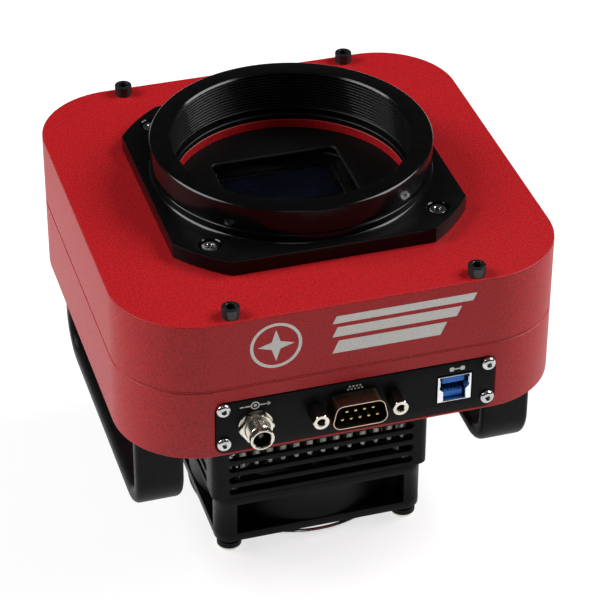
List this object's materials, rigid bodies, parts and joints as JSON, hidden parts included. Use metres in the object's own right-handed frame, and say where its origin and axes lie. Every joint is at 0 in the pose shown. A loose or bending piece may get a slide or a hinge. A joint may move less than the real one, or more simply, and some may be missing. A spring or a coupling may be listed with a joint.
{
  "type": "cooled astronomy camera",
  "caption": "Cooled imaging camera: square two-part housing, threaded telescope ring, connector panel, finned cooler with a spinning fan and two carrying bars.",
  "frame": {"origin": "centre of the telescope ring's front face, on the optical axis", "axes": "+Z along the optical axis towards the telescope, -Y towards the connector panel, +X to the right when facing that panel"},
  "size_m": [0.1396, 0.148, 0.1356],
  "materials": {
    "red_anodised": "fine grained satin anodise",
    "black_anodised": "satin black anodise",
    "dark_chamber": "matt black anodise",
    "bare_aluminium": "machined, bare",
    "black_paint": "matt black powder coat",
    "black_screws": "black oxide",
    "steel_screws": "stainless",
    "zinc_screws": "zinc plated",
    "chrome_wire": "bright chrome",
    "nickel": "nickel plated brass",
    "bronze_shell": "dark bronze plating",
    "bright_steel": "bright plated steel",
    "gold_contacts": "gold plated",
    "brass": "turned brass",
    "gasket": "matt",
    "black_plastic": "moulded",
    "blue_plastic": "moulded",
    "window_glass": "anti-reflection coated",
    "silicon": "polished silicon",
    "ceramic": "dark ceramic",
    "ceramic_white": "white ceramic",
    "board": "solder resist",
    "amber_film": "polyimide film",
    "grey_ribbon": "flat ribbon",
    "copper_windings": "enamelled copper",
    "magnet": "bonded ferrite"
  },
  "bodies": {
    "camera": {"front_shell": "red_anodised", "rear_shell": "red_anodised", "shell_gasket": "gasket", "cover_screws": "black_screws", "telescope_adapter": "black_anodised", "adapter_screws": "steel_screws", "chamber_body": "dark_chamber", "chamber_screws": "steel_screws", "window_retainer": "black_anodised", "chamber_window": "window_glass", "window_o_ring": "gasket", "sensor_package": "ceramic", "sensor_die": "silicon", "sensor_glass": "window_glass", "sensor_pins": "gold_contacts", "sensor_board": "board", "sensor_standoffs": "brass", "chamber_connector": "black_plastic", "sensor_cable": "amber_film", "cold_finger": "bare_aluminium", "tec_module": "ceramic_white", "hot_block": "bare_aluminium", "heat_sink": "bare_aluminium", "heat_sink_screws": "steel_screws", "desiccant_plug": "bare_aluminium", "main_board": "board", "main_board_parts": "black_plastic", "board_standoffs": "brass", "interface_board": "board", "interface_cable": "grey_ribbon", "connector_panel": "black_anodised", "panel_screws": "steel_screws", "power_jack_body": "nickel", "power_jack_nut": "nickel", "power_jack_insulator": "black_plastic", "power_jack_pin": "gold_contacts", "serial_shell": "bronze_shell", "serial_insulator": "black_plastic", "serial_pins": "gold_contacts", "jackscrews": "nickel", "usb_shell": "bright_steel", "usb_tongues": "blue_plastic", "usb_contacts": "gold_contacts", "shroud_walls": "black_paint", "shroud_floor": "black_paint", "shroud_screws": "black_screws", "fan_frame": "black_plastic", "fan_stator": "copper_windings", "fan_bearings": "steel_screws", "fan_guard": "chrome_wire", "fan_screws": "zinc_screws", "fan_nuts": "zinc_screws", "fan_lead": "gasket", "handle_left": "black_paint", "handle_right": "black_paint", "handle_screws": "steel_screws"},
    "fan_wheel": {"fan_rotor": "black_plastic", "fan_shaft": "steel_screws", "fan_magnet": "magnet"}
  },
  "joints": [
    {"name": "fan_spin", "type": "hinge", "parent": "camera", "child": "fan_wheel", "pos_m": [0, 0, -0.1232], "axis": [0, 0, 1], "continuous": true}
  ]
}
